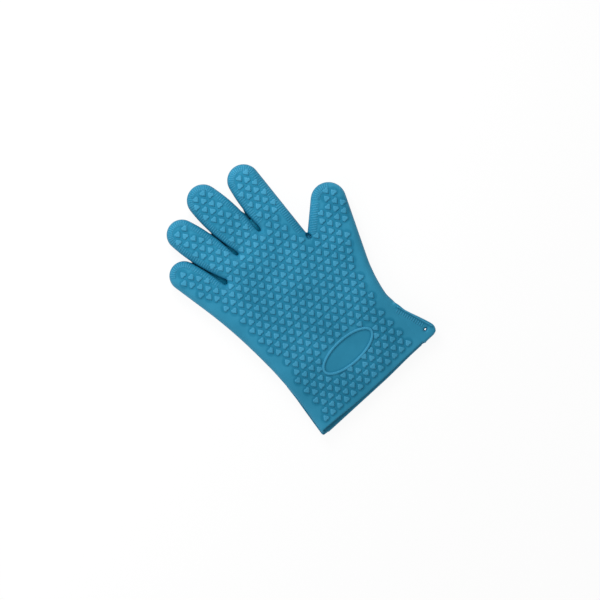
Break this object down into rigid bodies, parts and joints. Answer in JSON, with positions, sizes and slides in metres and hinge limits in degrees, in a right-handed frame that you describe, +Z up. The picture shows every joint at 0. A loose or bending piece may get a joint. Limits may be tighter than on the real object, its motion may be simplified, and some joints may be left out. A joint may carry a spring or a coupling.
{
  "type": "oven glove",
  "caption": "Five-finger silicone oven glove with a flared open cuff, raised heart grip studs, a blank oval frame and a corner tab for hanging; every digit bends at its root and its middle.",
  "frame": {"origin": "at the cuff's open edge, in line with the root of the middle finger, on the surface that the glove lies on", "axes": "+X towards the thumb, +Y from the cuff to the fingertips, +Z up out of the gripping face"},
  "size_m": [0.1898, 0.27, 0.0192],
  "materials": {
    "silicone": "matte moulded silicone, blue"
  },
  "bodies": {
    "hand": {"palm_panel": "silicone", "back_panel": "silicone", "cuff_front": "silicone", "cuff_back": "silicone", "hang_tab": "silicone", "oval_rim": "silicone", "cuff_studs": "silicone", "palm_studs": "silicone", "little_root_fold": "silicone", "ring_root_fold": "silicone", "middle_root_fold": "silicone", "index_root_fold": "silicone", "thumb_root_fold": "silicone"},
    "little_base": {"little_base_sleeve": "silicone", "little_middle_fold": "silicone"},
    "little_tip": {"little_tip_sleeve": "silicone"},
    "ring_base": {"ring_base_sleeve": "silicone", "ring_middle_fold": "silicone"},
    "ring_tip": {"ring_tip_sleeve": "silicone"},
    "middle_base": {"middle_base_sleeve": "silicone", "middle_middle_fold": "silicone"},
    "middle_tip": {"middle_tip_sleeve": "silicone"},
    "index_base": {"index_base_sleeve": "silicone", "index_middle_fold": "silicone"},
    "index_tip": {"index_tip_sleeve": "silicone"},
    "thumb_base": {"thumb_base_sleeve": "silicone", "thumb_middle_fold": "silicone"},
    "thumb_tip": {"thumb_tip_sleeve": "silicone"}
  },
  "joints": [
    {"name": "little_knuckle", "type": "hinge", "parent": "hand", "child": "little_base", "pos_m": [-0.06383, 0.18197, 0.0108], "axis": [0.9763, 0.2164, 0], "range_deg": [0, 55], "stiffness_Nm_per_rad": 0.15, "deforming": ["little_root_fold"]},
    {"name": "little_bend", "type": "hinge", "parent": "little_base", "child": "little_tip", "pos_m": [-0.06795, 0.20052, 0.0108], "axis": [0.9763, 0.2164, 0], "range_deg": [0, 55], "stiffness_Nm_per_rad": 0.15, "deforming": ["little_middle_fold"]},
    {"name": "ring_knuckle", "type": "hinge", "parent": "hand", "child": "ring_base", "pos_m": [-0.0334, 0.19716, 0.0108], "axis": [0.9732, 0.23, 0], "range_deg": [0, 55], "stiffness_Nm_per_rad": 0.15, "deforming": ["ring_root_fold"]},
    {"name": "ring_bend", "type": "hinge", "parent": "ring_base", "child": "ring_tip", "pos_m": [-0.03915, 0.22149, 0.0108], "axis": [0.9732, 0.23, 0], "range_deg": [0, 55], "stiffness_Nm_per_rad": 0.15, "deforming": ["ring_middle_fold"]},
    {"name": "middle_knuckle", "type": "hinge", "parent": "hand", "child": "middle_base", "pos_m": [-0.00098, 0.20197, 0.0108], "axis": [0.9962, 0.0872, 0], "range_deg": [0, 55], "stiffness_Nm_per_rad": 0.15, "deforming": ["middle_root_fold"]},
    {"name": "middle_bend", "type": "hinge", "parent": "middle_base", "child": "middle_tip", "pos_m": [-0.00343, 0.22986, 0.0108], "axis": [0.9962, 0.0872, 0], "range_deg": [0, 55], "stiffness_Nm_per_rad": 0.15, "deforming": ["middle_middle_fold"]},
    {"name": "index_knuckle", "type": "hinge", "parent": "hand", "child": "index_base", "pos_m": [0.03512, 0.20247, 0.0108], "axis": [0.9976, -0.0698, 0], "range_deg": [0, 55], "stiffness_Nm_per_rad": 0.15, "deforming": ["index_root_fold"]},
    {"name": "index_bend", "type": "hinge", "parent": "index_base", "child": "index_tip", "pos_m": [0.03686, 0.22741, 0.0108], "axis": [0.9976, -0.0698, 0], "range_deg": [0, 55], "stiffness_Nm_per_rad": 0.15, "deforming": ["index_middle_fold"]},
    {"name": "thumb_knuckle", "type": "hinge", "parent": "hand", "child": "thumb_base", "pos_m": [0.07504, 0.15252, 0.0108], "axis": [0.8141, -0.5807, 0], "range_deg": [0, 55], "stiffness_Nm_per_rad": 0.15, "deforming": ["thumb_root_fold"]},
    {"name": "thumb_bend", "type": "hinge", "parent": "thumb_base", "child": "thumb_tip", "pos_m": [0.08549, 0.16717, 0.0108], "axis": [0.8141, -0.5807, 0], "range_deg": [0, 55], "stiffness_Nm_per_rad": 0.15, "deforming": ["thumb_middle_fold"]}
  ]
}
